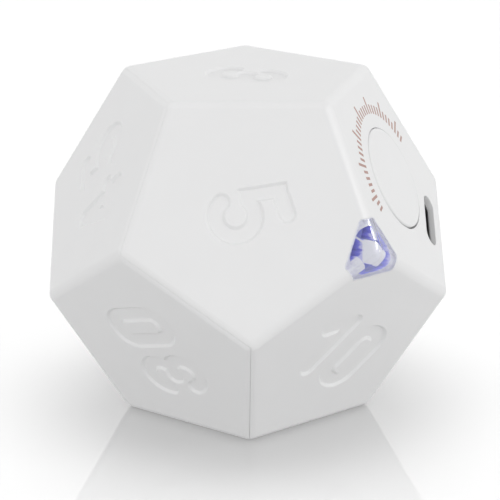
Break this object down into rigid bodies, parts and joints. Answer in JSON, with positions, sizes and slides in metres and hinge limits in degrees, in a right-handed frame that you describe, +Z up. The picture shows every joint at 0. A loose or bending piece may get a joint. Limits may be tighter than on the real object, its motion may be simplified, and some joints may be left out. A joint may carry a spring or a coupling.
{
  "type": "flip timer",
  "caption": "Desk timer in the shape of a dodecahedron: engraved minutes on its faces, a round push button, a charging slot and a lit clear corner.",
  "frame": {"origin": "middle of the underside, on the surface the timer stands on", "axes": "+Z up, -Y toward the face engraved 5, which faces the viewer of the picture, +X toward the button side"},
  "size_m": [0.0696, 0.073, 0.06],
  "materials": {
    "case_white": "smooth satin white moulded ABS",
    "button_white": "smooth satin white moulded ABS",
    "lens_blue": "clear polycarbonate lit blue from behind",
    "board_green": "green solder mask",
    "board_white": "white solder mask",
    "chip_black": "matt black epoxy",
    "plastic_black": "matt black plastic",
    "ceramic_tan": "fired ceramic",
    "steel": "drawn stainless sheet",
    "brass": "plain brass",
    "screw_steel": "zinc plated steel",
    "cell_foil": "aluminium laminate pouch",
    "foam_grey": "grey foam tape",
    "socket_ivory": "ivory nylon",
    "led_yellow": "phosphor and epoxy",
    "lead_red": "red insulation",
    "lead_black": "black insulation"
  },
  "bodies": {
    "casing": {"battery_cell": "cell_foil", "battery_lead_black": "lead_black", "battery_lead_red": "lead_red", "battery_pad": "foam_grey", "battery_plug": "socket_ivory", "battery_socket": "socket_ivory", "buzzer_case": "plastic_black", "buzzer_disc": "brass", "capacitor_1": "ceramic_tan", "capacitor_2": "ceramic_tan", "capacitor_3": "ceramic_tan", "cell_protection_board": "board_green", "charger_chip": "chip_black", "corner_lens": "lens_blue", "crystal": "steel", "front_shell": "case_white", "led_board": "board_white", "led_lead_return": "lead_black", "led_lead_supply": "lead_red", "main_pcb": "board_green", "mcu_chip": "chip_black", "motion_sensor_chip": "chip_black", "pcb_screw_1": "screw_steel", "pcb_screw_2": "screw_steel", "pcb_screw_3": "screw_steel", "pcb_screw_4": "screw_steel", "rear_shell": "case_white", "resistor_1": "chip_black", "resistor_2": "chip_black", "resistor_3": "chip_black", "status_led": "led_yellow", "switch_body": "plastic_black", "usb_c_shell": "steel", "usb_c_tongue": "plastic_black"},
    "button": {"button_cap": "button_white"},
    "plunger": {"switch_plunger": "socket_ivory"}
  },
  "joints": [
    {"name": "button_press", "type": "slide", "parent": "casing", "child": "button", "axis": [-0.8507, 0.2764, -0.4472], "range_m": [0, 0.0006], "stiffness_N_per_m": 1500, "springref_m": -0.0004},
    {"name": "switch_press", "type": "slide", "parent": "casing", "child": "plunger", "axis": [-0.8507, 0.2764, -0.4472], "range_m": [0, 0.0006]}
  ],
  "couplings": [
    {"joint": "switch_press", "follows": "button_press", "ratio": 1}
  ]
}
